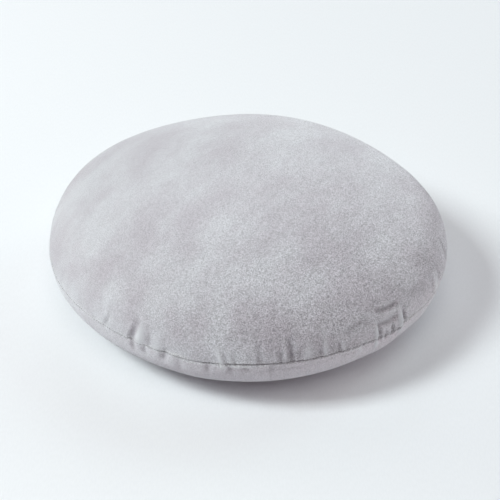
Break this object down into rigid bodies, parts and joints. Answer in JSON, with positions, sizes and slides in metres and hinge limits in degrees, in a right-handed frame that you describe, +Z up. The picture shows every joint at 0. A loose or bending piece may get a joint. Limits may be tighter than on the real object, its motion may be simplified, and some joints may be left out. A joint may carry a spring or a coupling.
{
  "type": "round cushion",
  "caption": "Round filled velvet cushion with a domed crown, a puckered seam round its edge and an underside pressed flat where it rests.",
  "frame": {"origin": "on the floor under the middle of the cushion, at the centre of the flat resting face", "axes": "+Z up through the crown, -Y towards the front, where the strongest puckers are, +X to the right seen from the front"},
  "size_m": [0.4014, 0.4046, 0.126],
  "materials": {
    "velvet": "short soft cotton pile, pale grey, matt with a light sheen at grazing angles"
  },
  "bodies": {
    "root": {"cushion": "velvet"}
  },
  "joints": []
}
